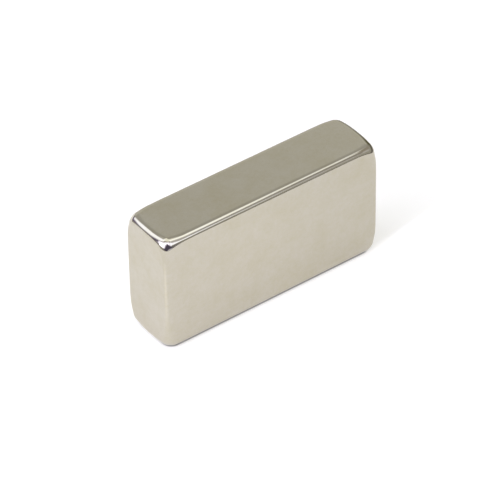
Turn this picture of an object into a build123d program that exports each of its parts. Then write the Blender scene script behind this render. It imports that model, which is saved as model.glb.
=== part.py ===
from build123d import *
import math
import os

# Driving sizes, in millimetres.

# The block stands on a long narrow side: its three sizes along X, Y and Z.
length = 25.4
thickness = 6.4
height = 13.2

# Radius that tumbling leaves along every edge.
edge_radius = 0.7

# Tumbling wears the eight corners back further than the edges, to a cap that is part of a ball.
# Along each edge the cap starts corner_reach from the sharp corner.
corner_reach = 2.0
corner_radius = 5.0

# The ball's centre lies equally deep below the three faces of its corner. The depth follows from
# the ball crossing each edge at corner_reach: (depth - reach)^2 + 2 depth^2 = radius^2.
ball_depth = (corner_reach + math.sqrt(3 * corner_radius**2 - 2 * corner_reach**2)) / 3

# What wear takes off the corners: a cube in one corner, less the ball, and its mirror images.
with BuildPart() as corner_waste:
    with Locations((-length / 2, -thickness / 2, 0)):
        Box(ball_depth, ball_depth, ball_depth, align=(Align.MIN, Align.MIN, Align.MIN))
    with Locations((ball_depth - length / 2, ball_depth - thickness / 2, ball_depth)):
        Sphere(corner_radius, mode=Mode.SUBTRACT)
    mirror(about=Plane.YZ)
    mirror(about=Plane.XZ)
    mirror(about=Plane.XY.offset(height / 2))

# The magnet is one solid. Its origin is under its centre, on the face that it rests on.
with BuildPart() as block_magnet:
    with BuildSketch(Plane.XY):
        Rectangle(length, thickness)
    extrude(amount=height)
    add(corner_waste.part, mode=Mode.SUBTRACT)
    fillet(block_magnet.edges(), edge_radius)
block_magnet.part.label = "block_magnet"

os.makedirs("parts", exist_ok=True)
export_step(block_magnet.part, "parts/block_magnet.step")
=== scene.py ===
"""A block magnet with bright nickel plating, on a plain pale floor in a light tent."""

import math

import bpy
import numpy as np
from bpy.props import FloatProperty, FloatVectorProperty, IntProperty, PointerProperty
from mathutils import Matrix, Vector


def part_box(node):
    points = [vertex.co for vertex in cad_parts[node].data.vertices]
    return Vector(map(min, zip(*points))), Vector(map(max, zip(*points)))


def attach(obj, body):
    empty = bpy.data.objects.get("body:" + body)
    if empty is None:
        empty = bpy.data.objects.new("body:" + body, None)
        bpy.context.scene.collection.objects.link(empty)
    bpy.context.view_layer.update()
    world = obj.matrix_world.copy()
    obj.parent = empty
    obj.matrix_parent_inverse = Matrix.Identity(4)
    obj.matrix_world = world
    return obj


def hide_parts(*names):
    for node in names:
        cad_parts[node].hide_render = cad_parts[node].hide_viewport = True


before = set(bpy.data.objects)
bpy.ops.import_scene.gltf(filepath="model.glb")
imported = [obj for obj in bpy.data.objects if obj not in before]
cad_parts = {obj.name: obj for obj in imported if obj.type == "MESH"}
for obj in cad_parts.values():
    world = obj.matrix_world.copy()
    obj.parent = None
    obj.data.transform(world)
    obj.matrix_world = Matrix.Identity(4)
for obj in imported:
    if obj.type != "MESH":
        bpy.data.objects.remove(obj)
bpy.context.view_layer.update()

bl_info = {
    "name": "Block magnet",
    "version": (1, 0, 0),
    "blender": (4, 5, 0),
    "location": "View3D > Sidebar > Block magnet",
    "description": "Makes a nickel-plated block magnet and its photographic stage",
    "category": "Object",
}

NODE = "block_magnet"
BODY = "root"
MM = 0.001

# The block's box, from the CAD part in model.glb.
LOW, HIGH = (np.array(corner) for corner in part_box(NODE))
CENTRE = (LOW + HIGH) / 2
HALF = (HIGH - LOW) / 2

# The photograph's frame, in pixels, and the pixel that the block's centre lies on. The camera's
# sensor is as wide as the frame.
FRAME_PX = 500
CENTRE_PX = (253.8, 231.65)
SENSOR_MM = 36

# The block's surface is sought along lines from a thin core. The core lies this share of the
# smallest half size below the faces, and each line is halved this many times.
CORE_DEPTH = 0.95
HALVINGS = 24

# The range that nearly all values of a noise texture lie in.
NOISE_LOW = 0.3
NOISE_HIGH = 0.7

# The elevation at which the table gives way to the tent's cloth, and the softness of that edge,
# in degrees.
TABLE_EDGE = -1
TABLE_SOFTNESS = 4

# Lamps, cloths and dark flags round the block, each over the ones before it: azimuth, from the
# camera towards its left, and elevation of the middle; half width; half height; tilt; softness
# of the edge, all in degrees; strength; and tint.
CARDS = {
    "roof": (0, 88, 200, 21.5, -2.5, 10.5, 1.43, "#FDFFF8"),
    "back cloth": (177, 23, 40, 18, 10, 25, 0.73, "#FFFFF8"),
    "left flag": (111, 18, 10, 25.5, 80, 10, 0.20, "#B178FF"),
    "left lamp": (92.5, 46, 26, 31, 15, 14.5, 2.15, "#ECF0FF"),
    "left lamp's stand": (83, 29.5, 7, 23, 14.5, 14.5, 0.17, "#D3B6FF"),
    "main lamp": (-9, 44, 93, 14, -12, 1.6, 4.6, "#E4E2FF"),
    "front flag": (-10.5, 10, 40, 21.5, 27, 13, 0.17, "#DCCEFF"),
    "low card": (-25.5, -3, 22.5, 9, 13.5, 15, 1.0, "#EFF1FF"),
    "right cloth": (-61, 47, 52.5, 22.5, 10.5, 6.5, 0.75, "#FAF9FF"),
    "right lamp": (-35, 41.5, 16, 13, -15.5, 8.5, 2.7, "#E2E6FF"),
    "high right window": (-84.5, 70, 18, 32, -35, 18, 2.0, "#F6FAFF"),
    "right flag": (-82, 40, 8, 12, 51.5, 1.5, 0.42, "#FFFAF7"),
    "right strip lamp": (-56.5, 25.5, 9.5, 4, 33, 3.2, 2.7, "#E8ECFF"),
    "far right card": (-106.5, 37.5, 18, 15.5, 33, 15, 0.44, "#FFF7EC"),
    "back right flag": (-149.5, 5, 16.5, 17, 5.5, 24.5, 0.13, "#F5E9A0"),
}


def linear(hex_colour):
    """An sRGB hex colour as linear red, green and blue."""
    channels = (int(hex_colour[k : k + 2], 16) / 255 for k in (1, 3, 5))
    return tuple(c / 12.92 if c <= 0.04045 else ((c + 0.055) / 1.055) ** 2.4 for c in channels)


def add_node(tree, kind, settings=None, links=None):
    """Adds a node, sets its options and unlinked sockets, and links its other sockets.

    A socket goes by its name, or by its number where several share a name.
    """
    node = tree.nodes.new(kind)
    for name, value in (settings or {}).items():
        if isinstance(name, int) or name in node.inputs:
            node.inputs[name].default_value = value
        else:
            setattr(node, name, value)
    for name, source in (links or {}).items():
        tree.links.new(source, node.inputs[name])
    return node


def new_tree(material):
    """Empties a material's node tree and gives back the tree."""
    material.use_nodes = True
    material.node_tree.nodes.clear()
    return material.node_tree


def mesh_object(name, points, quads, material, smooth=True):
    """An object at the origin, from an array of points and an array of four-cornered faces."""
    mesh = bpy.data.meshes.new(name)
    mesh.vertices.add(len(points))
    mesh.vertices.foreach_set("co", np.ascontiguousarray(points, np.float32).ravel())
    mesh.loops.add(quads.size)
    mesh.loops.foreach_set("vertex_index", np.ascontiguousarray(quads, np.int32).ravel())
    mesh.polygons.add(len(quads))
    mesh.polygons.foreach_set("loop_start", np.arange(0, quads.size, 4, dtype=np.int32))
    mesh.polygons.foreach_set("use_smooth", np.full(len(quads), smooth))
    mesh.update(calc_edges=True)
    mesh.validate()
    mesh.materials.append(material)
    made = bpy.data.objects.new(name, mesh)
    bpy.context.scene.collection.objects.link(made)
    return made


def grid_quads(ids):
    """The four-cornered faces between neighbours in a two-way array of point numbers."""
    return np.stack([ids[:-1, :-1], ids[1:, :-1], ids[1:, 1:], ids[:-1, 1:]], -1).reshape(-1, 4)


def axis_lines(half, zone, count, pitch):
    """Where the grid lines of the block's box cross one axis.

    Near each end a count of lines lies at depths of zone * (k / count)^1.5 below the face, so
    that they are closest over the rounded edge. The rest lie about one pitch apart. All are
    rounded to a nanometre, so that a line that falls on another is left out.
    """
    near = zone * (np.arange(count + 1) / count) ** 1.5
    rest = half - zone
    flat = np.linspace(-rest, rest, max(2, math.ceil(2 * rest / pitch) + 1))
    return np.unique(np.concatenate([near - half, flat, half - near]).round(9))


def outside_by(points, half, shape):
    """How far points lie outside the worn block: 0 on its surface and negative inside.

    Below each face a point has a depth. The rounding has the upright edges' radius, and takes the
    level edges' by exp(-(depth below the top or bottom / level reach)^2). Near a corner it takes
    the corners' by exp(-(distance to the corner / corner reach)^2), where the distance is the
    fourth root of the sum of the depths^4. Near a long bottom edge it takes the foot's by
    exp(-(distance to the edge / foot reach)^2), less the corner's share of that. What each depth
    is short of the radius gives a vector, whose length is the radius on the surface.
    """
    depth = np.maximum(half - np.abs(points), 0)
    level = np.exp(-((depth[:, 2] / shape.level_reach) ** 2))
    radius = shape.upright_radius + (shape.level_radius - shape.upright_radius) * level
    corner = np.exp(-np.sqrt((depth**4).sum(1)) / shape.corner_reach**2)
    foot = (1 - corner) * np.exp(-(depth[:, 1] ** 2 + depth[:, 2] ** 2) / shape.foot_reach**2)
    radius += (shape.foot_radius - shape.level_radius) * np.where(points[:, 2] < 0, foot, 0)
    radius += np.maximum(shape.corner_radius - radius, 0) * corner
    short = np.maximum(radius[:, None] - depth, 0)
    return np.linalg.norm(short, axis=1) - radius


def block_surface(half, shape):
    """Points and faces of the worn block, centred on the origin.

    A lattice is laid over the sharp box, and each of its points is joined to the nearest point
    of a thin core: point = core + share * (box - core). The surface crosses that line where
    outside_by is 0, which is found by halving the line again and again.
    """
    lines = [axis_lines(h, shape.zone, shape.lines, shape.pitch) for h in half]
    size = tuple(len(line) for line in lines)
    index = np.indices(size)
    ends = np.array(size).reshape(3, 1, 1, 1) - 1
    outer = ((index == 0) | (index == ends)).any(axis=0)
    ids = np.full(size, -1)
    ids[outer] = np.arange(outer.sum())
    box = np.stack([line[k[outer]] for line, k in zip(lines, index)], -1)

    inset = CORE_DEPTH * half.min()
    core = np.clip(box, inset - half, half - inset)
    low = np.zeros(len(box))
    high = np.ones(len(box))
    for _ in range(HALVINGS):
        middle = (low + high) / 2
        inside = outside_by(core + middle[:, None] * (box - core), half, shape) < 0
        low = np.where(inside, middle, low)
        high = np.where(inside, high, middle)
    points = core + high[:, None] * (box - core)

    quads = np.concatenate([
        grid_quads(ids[-1]), grid_quads(ids[0])[:, ::-1],
        grid_quads(ids[:, 0]), grid_quads(ids[:, -1])[:, ::-1],
        grid_quads(ids[:, :, -1]), grid_quads(ids[:, :, 0])[:, ::-1],
    ])
    return points, quads


def bright_nickel_plate(finish):
    """Bright nickel plate over a tumbled, sintered block.

    A bright plate is close to a mirror, with a warm grey of its own. It follows the ground and
    tumbled metal under it, which leaves a faint orange peel and slightly uneven gloss.
    """
    material = bpy.data.materials.new("bright_nickel_plate")
    tree = new_tree(material)
    place = add_node(tree, "ShaderNodeTexCoord").outputs["Object"]

    # Clouds where the plate is a little thicker and warmer. They go from some millimetres down to
    # grain of 0.1 mm: the metal's own grain is finer still, and is drawn this coarse to show.
    clouds = add_node(
        tree, "ShaderNodeTexNoise",
        {
            "Scale": 1 / finish.cloud_width, "Detail": finish.cloud_steps,
            "Roughness": finish.cloud_grain,
        },
        {"Vector": place},
    )
    tint = add_node(
        tree, "ShaderNodeMix",
        {"data_type": "RGBA", "A": (*finish.colour, 1), "B": (*finish.warm_colour, 1)},
        {"Factor": clouds.outputs["Fac"]},
    )

    # Gloss that varies a little over the face.
    gloss = add_node(
        tree, "ShaderNodeMapRange",
        {
            "From Min": NOISE_LOW, "From Max": NOISE_HIGH,
            "To Min": finish.roughness_low, "To Max": finish.roughness_high,
        },
        {"Value": clouds.outputs["Fac"]},
    )

    # Orange peel left by tumbling: swells with one finer step.
    peel = add_node(
        tree, "ShaderNodeTexNoise",
        {"Scale": 1 / finish.peel_width, "Detail": 1.0},
        {"Vector": place},
    )
    relief = add_node(
        tree, "ShaderNodeBump",
        {"Strength": 1.0, "Distance": finish.peel_depth},
        {"Height": peel.outputs["Fac"]},
    )

    shader = add_node(
        tree, "ShaderNodeBsdfPrincipled", {"Metallic": 1.0},
        {
            "Base Color": tint.outputs["Result"], "Roughness": gloss.outputs["Result"],
            "Normal": relief.outputs["Normal"],
        },
    )
    add_node(tree, "ShaderNodeOutputMaterial", links={"Surface": shader.outputs["BSDF"]})
    return material


def seen_by_eye_or_mirror(tree):
    """1 for rays from the camera, off a mirror or through glass, and 0 for other rays."""
    path = add_node(tree, "ShaderNodeLightPath")
    seen = path.outputs["Is Camera Ray"]
    for kind in ("Is Glossy Ray", "Is Transmission Ray"):
        either = add_node(
            tree, "ShaderNodeMath", {"operation": "MAXIMUM"}, {0: seen, 1: path.outputs[kind]}
        )
        seen = either.outputs["Value"]
    return seen


def glow_with_painted_shade(tree, place, studio):
    """How strongly the paper glows, with painted shade and painted light in it.

    The glow falls to the right, a painted shade on the floor and on its reflection in the block.
    The shadow's front edge is painted: it runs back to the right from the block's right front
    corner. A place lies behind it by the dot product of its offset from that corner, with what lies
    left of the corner taken as 0, and (-tan(turn of the edge), 1). Before the edge and before the
    block the eye sees the front glow, a painted light that hides the block's shadow there. Behind
    it, and in a mirror, the glow falls to the right.
    """
    across = add_node(tree, "ShaderNodeSeparateXYZ", links={"Vector": place})
    # Painted shade: the glow falls from left to right, so the floor and its reflection in the block
    # are darker on the right.
    fall = add_node(
        tree, "ShaderNodeMapRange",
        {
            "interpolation_type": "SMOOTHSTEP", "From Min": 0.0, "From Max": studio.painted_shade_reach,
            "To Min": studio.left_glow, "To Max": studio.right_glow_with_painted_shade,
        },
        {"Value": across.outputs["X"]},
    )
    # The painted front edge of the block's shadow: how far a place lies behind it.
    offset = add_node(
        tree, "ShaderNodeVectorMath",
        {"operation": "SUBTRACT", 1: (HALF[0], -HALF[1], 0)},
        {0: place},
    )
    right_of = add_node(
        tree, "ShaderNodeVectorMath",
        {"operation": "MAXIMUM", 1: (0, -studio.floor_far, -studio.floor_far)},
        {0: offset.outputs["Vector"]},
    )
    back = add_node(
        tree, "ShaderNodeVectorMath",
        {"operation": "DOT_PRODUCT", 1: (-math.tan(studio.painted_shadow_turn), 1, 0)},
        {0: right_of.outputs["Vector"]},
    )
    behind = add_node(
        tree, "ShaderNodeMapRange",
        {
            "interpolation_type": "SMOOTHSTEP", "From Min": 0.0, "From Max": studio.painted_shadow_edge,
            "To Min": 0.0, "To Max": 1.0,
        },
        {"Value": back.outputs["Value"]},
    )
    # Painted light: before the edge the eye sees the front glow, which hides the block's shadow
    # there; behind it, and in a mirror, the glow falls to the right.
    path = add_node(tree, "ShaderNodeLightPath")
    falling = add_node(
        tree, "ShaderNodeMath", {"operation": "MAXIMUM"},
        {0: behind.outputs["Result"], 1: path.outputs["Is Glossy Ray"]},
    )
    glow = add_node(
        tree, "ShaderNodeMix", {"data_type": "FLOAT", "A": studio.front_glow_with_painted_light},
        {"Factor": falling.outputs["Value"], "B": fall.outputs["Result"]},
    )
    return glow.outputs["Result"]


def painted_light_pool(tree, place, studio):
    """A painted pool of light on the paper before the near corner, as a factor of the glow."""
    apart = add_node(
        tree, "ShaderNodeVectorMath",
        {"operation": "DISTANCE", 1: (-HALF[0] - studio.spot_left, -HALF[1] - studio.spot_out, 0)},
        {0: place},
    )
    spot = add_node(
        tree, "ShaderNodeMapRange",
        {
            "interpolation_type": "SMOOTHSTEP", "From Min": 0.0, "From Max": studio.spot_radius,
            "To Min": 1 + studio.painted_pool_gain, "To Max": 1.0,
        },
        {"Value": apart.outputs["Value"]},
    )
    return spot.outputs["Result"]


def painted_foot_shadow(tree, place, studio):
    """A painted shadow: 0 under the block's rounded foot, where the paper is painted dark, and 1
    outside it.

    It goes by the distance from the foot's inner rectangle, foot inset inside the outline: the
    length of max(|place| - half size of the rectangle, 0).
    """
    off = add_node(tree, "ShaderNodeVectorMath", {"operation": "ABSOLUTE"}, {0: place})
    past = add_node(
        tree, "ShaderNodeVectorMath",
        {"operation": "SUBTRACT", 1: (HALF[0] - studio.foot_shadow_inset, HALF[1] - studio.foot_shadow_inset, 0)},
        {0: off.outputs["Vector"]},
    )
    outside = add_node(
        tree, "ShaderNodeVectorMath",
        {"operation": "MAXIMUM", 1: (0, 0, 0)},
        {0: past.outputs["Vector"]},
    )
    distance = add_node(
        tree, "ShaderNodeVectorMath", {"operation": "LENGTH"}, {0: outside.outputs["Vector"]}
    )
    shade = add_node(
        tree, "ShaderNodeMapRange",
        {
            "interpolation_type": "SMOOTHSTEP",
            "From Min": studio.foot_shadow_inset - studio.foot_shadow_dark,
            "From Max": studio.foot_shadow_inset - studio.foot_shadow_light, "To Min": 0.0, "To Max": 1.0,
        },
        {"Value": distance.outputs["Value"]},
    )
    return shade.outputs["Result"]


def white_floor(studio):
    """Matt white paper. To the eye and to a mirror a little glow lifts it to white."""
    material = bpy.data.materials.new("white_floor_paper")
    tree = new_tree(material)
    place = add_node(tree, "ShaderNodeTexCoord").outputs["Object"]
    strength = seen_by_eye_or_mirror(tree)
    # The glow's factors paint shade on the right, light before the shadow's front edge and a pool of
    # light before the near corner.
    for factor in (glow_with_painted_shade(tree, place, studio), painted_light_pool(tree, place, studio)):
        product = add_node(
            tree, "ShaderNodeMath", {"operation": "MULTIPLY"}, {0: strength, 1: factor}
        )
        strength = product.outputs["Value"]
    paper = add_node(tree, "ShaderNodeBsdfDiffuse", {"Color": (*studio.floor_colour, 1)})
    light = add_node(
        tree, "ShaderNodeEmission", {"Color": (*studio.glow_colour, 1)}, {"Strength": strength}
    )
    both = add_node(
        tree, "ShaderNodeAddShader", links={0: paper.outputs["BSDF"], 1: light.outputs["Emission"]}
    )
    # Painted shadow: paper and glow both go dark under the block's foot.
    shaded = add_node(
        tree, "ShaderNodeMixShader",
        links={"Fac": painted_foot_shadow(tree, place, studio), 2: both.outputs["Shader"]},
    )
    add_node(tree, "ShaderNodeOutputMaterial", links={"Surface": shaded.outputs["Shader"]})
    return material


def tent_cloth():
    """Lit tent cloth: its glow is stored on the mesh, and the camera sees it as white."""
    material = bpy.data.materials.new("light_tent_cloth")
    tree = new_tree(material)
    glow = add_node(tree, "ShaderNodeAttribute", {"attribute_name": "glow"})
    path = add_node(tree, "ShaderNodeLightPath")
    seen = add_node(
        tree, "ShaderNodeMix", {"data_type": "RGBA", "B": (1, 1, 1, 1)},
        {"Factor": path.outputs["Is Camera Ray"], "A": glow.outputs["Color"]},
    )
    light = add_node(tree, "ShaderNodeEmission", links={"Color": seen.outputs["Result"]})
    add_node(tree, "ShaderNodeOutputMaterial", links={"Surface": light.outputs["Emission"]})
    return material


def soft_window(x, half_width, softness):
    """1 near 0 and 0 beyond the half width on either side, with a smooth fall over the softness.

    The fall is t^2 (3 - 2 t), where t goes from 1 to 0 across the edge.
    """
    t = np.clip((half_width - np.abs(x)) / softness + 0.5, 0, 1)
    return t * t * (3 - 2 * t)


def tent_glow(left, high, studio):
    """The glow of the cloth, at angles left of the camera and above the floor, in degrees.

    It is the wall's above the floor and the table's below it. Each card covers what was there
    before it: glow = glow + cover * (card - glow). Its cover is a soft window across it times
    one up it, both turned by its tilt.
    """
    below = soft_window(high + 90, TABLE_EDGE + 90, TABLE_SOFTNESS)[..., None]
    glow = np.array(studio.wall_colour) * (1 - below) + np.array(studio.table_colour) * below
    for card in CARDS.values():
        azimuth, elevation, half_width, half_height, tilt, softness, strength, tint = card
        across = (left - azimuth + 180) % 360 - 180
        up = high - elevation
        cos = math.cos(math.radians(tilt))
        sin = math.sin(math.radians(tilt))
        cover = soft_window(cos * across + sin * up, half_width, softness)
        cover *= soft_window(cos * up - sin * across, half_height, softness)
        glow += cover[..., None] * (strength * np.array(linear(tint)) - glow)
    return glow


class BlockShape(bpy.types.PropertyGroup):
    """The block's rounding. Its length, thickness and height come from the CAD part."""

    level_radius: FloatProperty(
        name="Level edge radius",
        description="Radius of the level edges, other than the two long bottom ones",
        default=0.67 * MM, min=0.0, unit="LENGTH", precision=5,
    )
    upright_radius: FloatProperty(
        name="Upright edge radius", description="Radius of the four upright edges",
        default=0.39 * MM, min=0.0, unit="LENGTH", precision=5,
    )
    level_reach: FloatProperty(
        name="Level reach",
        description="Depth over which an upright edge takes the level edges' radius",
        default=1.03 * MM, min=0.0, unit="LENGTH", precision=5,
    )
    foot_radius: FloatProperty(
        name="Foot radius", description="Radius of the two long bottom edges",
        default=1.02 * MM, min=0.0, unit="LENGTH", precision=5,
    )
    foot_reach: FloatProperty(
        name="Foot reach", description="Distance over which the bottom edges take the foot's radius",
        default=1.8 * MM, min=0.0, unit="LENGTH", precision=5,
    )
    corner_radius: FloatProperty(
        name="Corner radius", description="Radius that wear leaves at the eight corners",
        default=1.2 * MM, min=0.0, unit="LENGTH", precision=5,
    )
    corner_reach: FloatProperty(
        name="Corner reach", description="How far a corner's wear spreads",
        default=1.43 * MM, min=0.0, unit="LENGTH", precision=5,
    )
    zone: FloatProperty(
        name="Fine zone", description="Depth of the close grid lines at each end of the block",
        default=2.3 * MM, min=0.0, unit="LENGTH", precision=5,
    )
    lines: IntProperty(
        name="Fine lines", description="Number of close grid lines at each end", default=36, min=4,
    )
    pitch: FloatProperty(
        name="Pitch", description="Distance between grid lines on the flat faces",
        default=1.0 * MM, min=0.0, unit="LENGTH", precision=5,
    )


class NickelFinish(bpy.types.PropertyGroup):
    """Colours and textures of the plating."""

    colour: FloatVectorProperty(
        name="Colour", description="Mirror colour of the plate",
        default=linear("#CAC6BE"), size=3, subtype="COLOR", min=0.0, max=1.0,
    )
    warm_colour: FloatVectorProperty(
        name="Warm colour", description="Mirror colour where the plate is warmest",
        default=linear("#B8B095"), size=3, subtype="COLOR", min=0.0, max=1.0,
    )
    roughness_low: FloatProperty(
        name="Least roughness", description="Roughness where the plate is glossiest",
        default=0.05, min=0.0, max=1.0, subtype="FACTOR",
    )
    roughness_high: FloatProperty(
        name="Most roughness", description="Roughness where the plate is dullest",
        default=0.08, min=0.0, max=1.0, subtype="FACTOR",
    )
    cloud_width: FloatProperty(
        name="Cloud width", description="Width of the clouds of warmer plate",
        default=3.2 * MM, min=0.0, unit="LENGTH", precision=5,
    )
    cloud_steps: IntProperty(
        name="Cloud steps", description="Number of finer steps of the clouds, each half as wide",
        default=5, min=0, max=15,
    )
    cloud_grain: FloatProperty(
        name="Cloud grain", description="Strength of each finer step of the clouds against the last",
        default=0.85, min=0.0, max=1.0, subtype="FACTOR",
    )
    peel_width: FloatProperty(
        name="Orange peel width", description="Distance between the swells of the orange peel",
        default=0.45 * MM, min=0.0, unit="LENGTH", precision=5,
    )
    peel_depth: FloatProperty(
        name="Orange peel depth", description="Height of the swells of the orange peel",
        default=0.0006 * MM, min=0.0, unit="LENGTH", precision=5,
    )


class StudioSetup(bpy.types.PropertyGroup):
    """Camera, floor and light tent."""

    camera_azimuth: FloatProperty(
        name="Camera azimuth", description="Angle of the camera to the right of the large face",
        default=math.radians(-36.1), subtype="ANGLE",
    )
    camera_elevation: FloatProperty(
        name="Camera elevation", description="Angle of the camera above the floor",
        default=math.radians(39.5), subtype="ANGLE",
    )
    camera_roll: FloatProperty(
        name="Camera roll", description="Turn of the camera about its line of sight",
        default=math.radians(-1.0), subtype="ANGLE",
    )
    camera_distance: FloatProperty(
        name="Camera distance", description="From the camera to the block's centre",
        default=354 * MM, unit="LENGTH", precision=4,
    )
    lens: FloatProperty(
        name="Lens", description="Focal length, on a sensor 36 mm wide",
        default=263.8, min=1.0, unit="CAMERA",
    )
    floor_colour: FloatVectorProperty(
        name="Floor colour", description="Colour of the floor paper",
        default=linear("#CFCEC9"), size=3, subtype="COLOR", min=0.0, max=1.0,
    )
    floor_near: FloatProperty(
        name="Floor near", description="How far the sheet of paper reaches to the front and right",
        default=62 * MM, min=0.0, unit="LENGTH", precision=4,
    )
    floor_far: FloatProperty(
        name="Floor far", description="How far the sheet of paper reaches to the left and back",
        default=250 * MM, min=0.0, unit="LENGTH", precision=4,
    )
    glow_colour: FloatVectorProperty(
        name="Glow colour", description="Colour of the floor's glow",
        default=linear("#FFFEFA"), size=3, subtype="COLOR", min=0.0, max=1.0,
    )
    # Painted light: the eye sees this stronger glow before the painted shadow edge, which hides the
    # block's shadow there.
    front_glow_with_painted_light: FloatProperty(
        name="Front glow", description="Glow that lifts the floor to white before the shadow's edge",
        default=0.55, min=0.0,
    )
    left_glow: FloatProperty(
        name="Left glow", description="Glow that lifts the floor to white, left of the block",
        default=0.475, min=0.0,
    )
    # Painted shade: the glow is weaker on the right, so the floor and its reflection in the block
    # are darker there.
    right_glow_with_painted_shade: FloatProperty(
        name="Right glow", description="Glow that lifts the floor to white, right of the block",
        default=0.395, min=0.0,
    )
    painted_shade_reach: FloatProperty(
        name="Glow reach", description="Distance right of the middle over which the glow falls",
        default=20 * MM, min=0.0, unit="LENGTH", precision=4,
    )
    # A painted pool of light on the floor before the near corner.
    spot_left: FloatProperty(
        name="Spot left", description="How far left of the near corner the light spot is",
        default=9 * MM, unit="LENGTH", precision=4,
    )
    spot_out: FloatProperty(
        name="Spot out", description="How far before the large face the light spot is",
        default=2 * MM, unit="LENGTH", precision=4,
    )
    spot_radius: FloatProperty(
        name="Spot radius", description="Radius of the light spot",
        default=10 * MM, min=0.0, unit="LENGTH", precision=4,
    )
    painted_pool_gain: FloatProperty(
        name="Spot gain", description="How much stronger the floor's glow is in the spot",
        default=0.4, min=0.0,
    )
    # The painted front edge of the block's shadow on the floor.
    painted_shadow_turn: FloatProperty(
        name="Shadow turn",
        description="Angle of the shadow's front edge behind the large face's line",
        default=math.radians(8), subtype="ANGLE",
    )
    painted_shadow_edge: FloatProperty(
        name="Shadow edge", description="Width over which the shadow's front edge fades",
        default=1.0 * MM, min=0.0, unit="LENGTH", precision=4,
    )
    # A painted shadow under the block's rounded foot.
    foot_shadow_inset: FloatProperty(
        name="Foot inset", description="From the foot's inner rectangle to the block's outline",
        default=1.45 * MM, min=0.0, unit="LENGTH", precision=5,
    )
    foot_shadow_dark: FloatProperty(
        name="Foot dark", description="How far inside the block's outline the floor is darkest",
        default=0.65 * MM, min=0.0, unit="LENGTH", precision=5,
    )
    foot_shadow_light: FloatProperty(
        name="Foot light", description="How far inside the block's outline the floor is light again",
        default=0.22 * MM, min=0.0, unit="LENGTH", precision=5,
    )
    tent_radius: FloatProperty(
        name="Tent radius", description="Radius of the light tent", default=1.2, unit="LENGTH",
    )
    wall_colour: FloatVectorProperty(
        name="Wall colour", description="Glow of the tent's cloth where no card covers it",
        default=linear("#BDBCB9"), size=3, subtype="COLOR", min=0.0, max=1.0,
    )
    table_colour: FloatVectorProperty(
        name="Table colour", description="Glow of the table round the paper",
        default=linear("#858380"), size=3, subtype="COLOR", min=0.0, max=1.0,
    )


class BLOCKMAGNET_OT_block(bpy.types.Operator):
    """Make the nickel-plated block in place of the CAD solid"""

    bl_idname = "blockmagnet.block"
    bl_label = "Make block"

    def execute(self, context):
        shape = context.scene.blockmagnet_shape
        points, quads = block_surface(HALF, shape)
        material = bright_nickel_plate(context.scene.blockmagnet_finish)
        piece = mesh_object("nickel_plated_block", points + CENTRE, quads, material)
        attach(piece, BODY)
        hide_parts(NODE)
        return {"FINISHED"}


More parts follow.
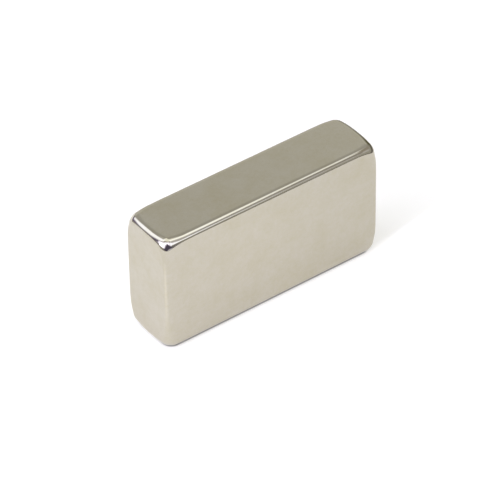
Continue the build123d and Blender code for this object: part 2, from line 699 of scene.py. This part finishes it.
class BLOCKMAGNET_OT_stage(bpy.types.Operator):
    """Make the floor, the light tent and the camera"""

    bl_idname = "blockmagnet.stage"
    bl_label = "Make stage"

    def execute(self, context):
        studio = context.scene.blockmagnet_studio
        self.make_floor(studio)
        self.make_tent(studio)
        self.make_camera(context, studio)
        return {"FINISHED"}

    def make_floor(self, studio):
        """A sheet of paper under the block, wide enough to fill the photograph's view."""
        side = np.array([-studio.floor_far, studio.floor_near])
        x, y = np.meshgrid(side, -side[::-1], indexing="ij")
        points = np.stack([x, y, np.full_like(x, LOW[2])], -1).reshape(-1, 3)
        quads = grid_quads(np.arange(4).reshape(2, 2))
        mesh_object("floor", points, quads, white_floor(studio), smooth=False)

    def make_tent(self, studio):
        """A ball of cloth, with lamps and dark cards on it, and a point at every degree.

        A point of the cloth at azimuth a and elevation e lies at radius * (cos e sin a,
        -cos e cos a, sin e).
        """
        around = np.radians(np.arange(0, 361))
        up = np.radians(np.arange(-90, 91))
        a, e = np.meshgrid(around, up, indexing="ij")
        points = studio.tent_radius * np.stack(
            [np.cos(e) * np.sin(a), -np.cos(e) * np.cos(a), np.sin(e)], -1
        ).reshape(-1, 3)
        quads = grid_quads(np.arange(a.size).reshape(a.shape))
        tent = mesh_object("light_tent", points, quads, tent_cloth())

        left = (math.degrees(studio.camera_azimuth) - np.degrees(a) + 180) % 360 - 180
        colour = tent_glow(left, np.degrees(e), studio)
        attribute = tent.data.attributes.new("glow", "FLOAT_COLOR", "POINT")
        rgba = np.concatenate([colour, np.ones_like(colour[..., :1])], -1)
        attribute.data.foreach_set("color", rgba.astype(np.float32).ravel())

    def make_camera(self, context, studio):
        """The camera, in the direction that the azimuth a and elevation e give.

        That is (sin a cos e, -cos a cos e, sin e) from the block's centre. The camera is then
        moved across its line of sight, so that the centre falls on CENTRE_PX.
        """
        a, e = studio.camera_azimuth, studio.camera_elevation
        back = Vector((math.sin(a) * math.cos(e), -math.cos(a) * math.cos(e), math.sin(e)))
        level = Vector((math.cos(a), math.sin(a), 0))
        steep = back.cross(level)
        roll = studio.camera_roll
        right = math.cos(roll) * level + math.sin(roll) * steep
        up = math.cos(roll) * steep - math.sin(roll) * level

        data = bpy.data.cameras.new("camera")
        data.sensor_width = SENSOR_MM
        data.lens = studio.lens
        # From well before the block to beyond the tent's far side.
        data.clip_start = studio.camera_distance / 10
        data.clip_end = studio.tent_radius * 4
        metres_per_px = studio.camera_distance * data.sensor_width / data.lens / FRAME_PX
        camera = bpy.data.objects.new("camera", data)
        camera.matrix_world = Matrix((right, up, back)).transposed().to_4x4()
        camera.location = (
            Vector(CENTRE)
            - (CENTRE_PX[0] - FRAME_PX / 2) * metres_per_px * right
            + (CENTRE_PX[1] - FRAME_PX / 2) * metres_per_px * up
            + studio.camera_distance * back
        )
        context.scene.collection.objects.link(camera)
        context.scene.camera = camera
        context.scene.view_settings.view_transform = "Standard"


class BLOCKMAGNET_PT_panel(bpy.types.Panel):
    """Sizes, colours and the steps that make the magnet and its stage"""

    bl_idname = "BLOCKMAGNET_PT_panel"
    bl_label = "Block magnet"
    bl_space_type = "VIEW_3D"
    bl_region_type = "UI"
    bl_category = "Block magnet"

    def draw(self, context):
        layout = self.layout
        for group, operator in (
            (context.scene.blockmagnet_shape, None),
            (context.scene.blockmagnet_finish, BLOCKMAGNET_OT_block.bl_idname),
            (context.scene.blockmagnet_studio, BLOCKMAGNET_OT_stage.bl_idname),
        ):
            for name in group.__annotations__:
                layout.prop(group, name)
            if operator:
                layout.operator(operator)


CLASSES = (
    BlockShape,
    NickelFinish,
    StudioSetup,
    BLOCKMAGNET_OT_block,
    BLOCKMAGNET_OT_stage,
    BLOCKMAGNET_PT_panel,
)


def register():
    """Registers the classes and puts the property groups on the scene."""
    for made in CLASSES:
        bpy.utils.register_class(made)
    bpy.types.Scene.blockmagnet_shape = PointerProperty(type=BlockShape)
    bpy.types.Scene.blockmagnet_finish = PointerProperty(type=NickelFinish)
    bpy.types.Scene.blockmagnet_studio = PointerProperty(type=StudioSetup)


def unregister():
    """Takes away what register put in place."""
    del bpy.types.Scene.blockmagnet_studio
    del bpy.types.Scene.blockmagnet_finish
    del bpy.types.Scene.blockmagnet_shape
    for made in reversed(CLASSES):
        bpy.utils.unregister_class(made)


def main():
    """Makes the magnet and its stage."""
    register()
    bpy.ops.blockmagnet.block()
    bpy.ops.blockmagnet.stage()


if __name__ == "__main__":
    main()
